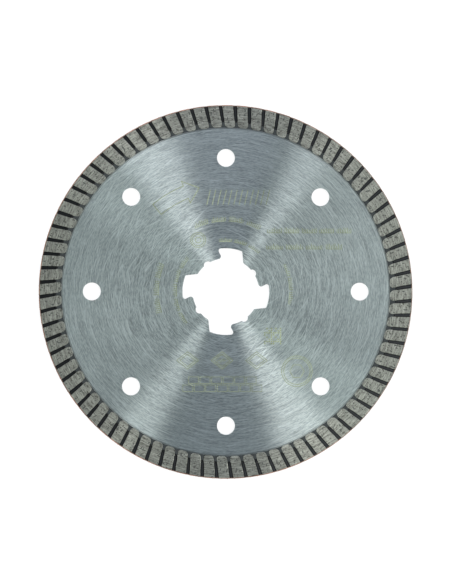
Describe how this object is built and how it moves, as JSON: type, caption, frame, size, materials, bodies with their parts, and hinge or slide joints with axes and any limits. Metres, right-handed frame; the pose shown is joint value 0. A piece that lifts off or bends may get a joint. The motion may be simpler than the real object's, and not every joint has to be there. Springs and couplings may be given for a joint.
{
  "type": "diamond cutting blade",
  "caption": "Thin steel cutting disc with a slotted continuous diamond rim, a four-lobed quick-change arbor hole and a ring of round vent holes.",
  "frame": {"origin": "middle of the arbor hole, at the middle of the blade's thickness", "axes": "+Z along the arbor axis out of the front (marked) face, the blade lying flat; +X and +Y each through the middle of a vent hole"},
  "size_m": [0.125, 0.125, 0.0014],
  "materials": {
    "ground_steel": "ground, with fine circular grinding marks",
    "sintered_matrix": "sintered metal, ground on the lands and dark in the slots",
    "diamond": "dark translucent crystal"
  },
  "bodies": {
    "root": {"steel_core": "ground_steel", "diamond_rim": "sintered_matrix", "diamond_grit_front": "diamond", "diamond_grit_rear": "diamond", "diamond_grit_edge": "diamond"}
  },
  "joints": []
}
